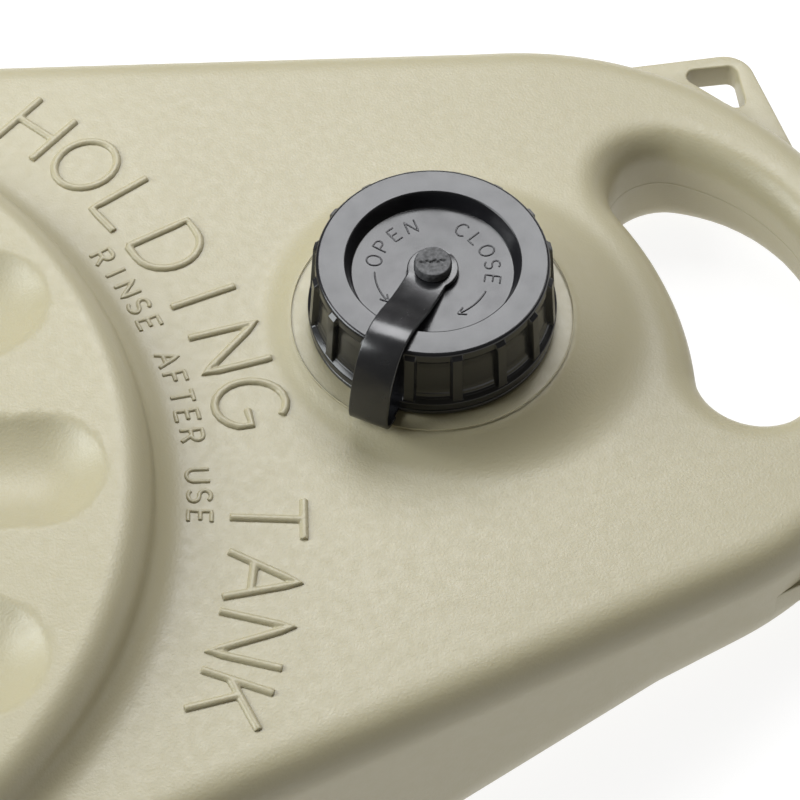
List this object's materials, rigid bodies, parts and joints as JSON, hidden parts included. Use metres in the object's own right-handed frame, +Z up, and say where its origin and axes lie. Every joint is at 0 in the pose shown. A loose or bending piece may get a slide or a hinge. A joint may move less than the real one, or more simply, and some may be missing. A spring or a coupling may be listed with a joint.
{
  "type": "portable waste tote",
  "caption": "Flat blow-moulded waste tank lying on its underside, with a moulded carrying handle, tie-down tabs, tethered screw caps and rear wheels.",
  "frame": {"origin": "middle of the length and width, on the ground that the underside rests on", "axes": "+X towards the carrying handle, +Y to the left seen from the wheels, +Z up"},
  "size_m": [0.7715, 0.504, 0.2132],
  "materials": {
    "tank_plastic": "semi-matte blow-moulded polyethylene with a fine pebble grain",
    "cap_plastic": "glossy black polypropylene",
    "strap_plastic": "satin black flexible plastic",
    "stud_plastic": "matte dark grey plastic",
    "seal_rubber": "soft matte black rubber",
    "tyre_rubber": "matte black solid rubber",
    "wheel_plastic": "semi-matte grey plastic",
    "plated_steel": "bright zinc plate"
  },
  "bodies": {
    "tank": {"tank_shell": "tank_plastic", "left_wheel_pin": "plated_steel", "right_wheel_pin": "plated_steel", "left_wheel_washer": "wheel_plastic", "right_wheel_washer": "wheel_plastic", "left_wheel_retainer": "plated_steel", "right_wheel_retainer": "plated_steel"},
    "left_wheel": {"left_wheel_hub": "wheel_plastic", "left_wheel_tyre": "tyre_rubber", "left_hub_cap": "cap_plastic"},
    "right_wheel": {"right_wheel_hub": "wheel_plastic", "right_wheel_tyre": "tyre_rubber", "right_hub_cap": "cap_plastic"},
    "inlet_ring": {"inlet_tether_ring": "strap_plastic"},
    "inlet_strap": {"inlet_tether_strap": "strap_plastic", "inlet_cap_stud": "stud_plastic"},
    "inlet_gasket": {"inlet_cap_seal": "seal_rubber"},
    "inlet_closure": {"inlet_cap": "cap_plastic"},
    "outlet_ring": {"outlet_tether_ring": "strap_plastic"},
    "outlet_strap": {"outlet_tether_strap": "strap_plastic", "outlet_cap_stud": "stud_plastic"},
    "outlet_gasket": {"outlet_cap_seal": "seal_rubber"},
    "outlet_closure": {"outlet_cap": "cap_plastic"}
  },
  "joints": [
    {"name": "left_wheel_spin", "type": "hinge", "parent": "tank", "child": "left_wheel", "pos_m": [-0.3258, 0.227, 0.06], "axis": [0, 1, 0], "continuous": true},
    {"name": "right_wheel_spin", "type": "hinge", "parent": "tank", "child": "right_wheel", "pos_m": [-0.3258, -0.227, 0.06], "axis": [0, 1, 0], "continuous": true},
    {"name": "inlet_tether_swivel", "type": "hinge", "parent": "tank", "child": "inlet_ring", "pos_m": [0.2122, 0, 0.09824], "axis": [0.1867, 0, 0.9824], "continuous": true},
    {"name": "inlet_strap_rise", "type": "slide", "parent": "inlet_ring", "child": "inlet_strap", "axis": [0.1867, 0, 0.9824], "range_m": [0, 0.0106]},
    {"name": "inlet_cap_rise", "type": "slide", "parent": "tank", "child": "inlet_gasket", "axis": [0.1867, 0, 0.9824], "range_m": [0, 0.0106]},
    {"name": "inlet_cap_turn", "type": "hinge", "parent": "inlet_gasket", "child": "inlet_closure", "pos_m": [0.2122, 0, 0.09824], "axis": [0.1867, 0, 0.9824], "range_deg": [0, 630]},
    {"name": "outlet_tether_swivel", "type": "hinge", "parent": "tank", "child": "outlet_ring", "pos_m": [-0.32265, 0, 0.07975], "axis": [-0.9824, 0, 0.1867], "continuous": true},
    {"name": "outlet_strap_rise", "type": "slide", "parent": "outlet_ring", "child": "outlet_strap", "axis": [-0.9824, 0, 0.1867], "range_m": [0, 0.0106]},
    {"name": "outlet_cap_rise", "type": "slide", "parent": "tank", "child": "outlet_gasket", "axis": [-0.9824, 0, 0.1867], "range_m": [0, 0.0106]},
    {"name": "outlet_cap_turn", "type": "hinge", "parent": "outlet_gasket", "child": "outlet_closure", "pos_m": [-0.32265, 0, 0.07975], "axis": [-0.9824, 0, 0.1867], "range_deg": [0, 630]}
  ],
  "couplings": [
    {"joint": "inlet_cap_rise", "follows": "inlet_cap_turn", "m_per_rad": 0.00095493},
    {"joint": "inlet_strap_rise", "follows": "inlet_cap_turn", "m_per_rad": 0.00095493},
    {"joint": "outlet_cap_rise", "follows": "outlet_cap_turn", "m_per_rad": 0.00095493},
    {"joint": "outlet_strap_rise", "follows": "outlet_cap_turn", "m_per_rad": 0.00095493}
  ]
}
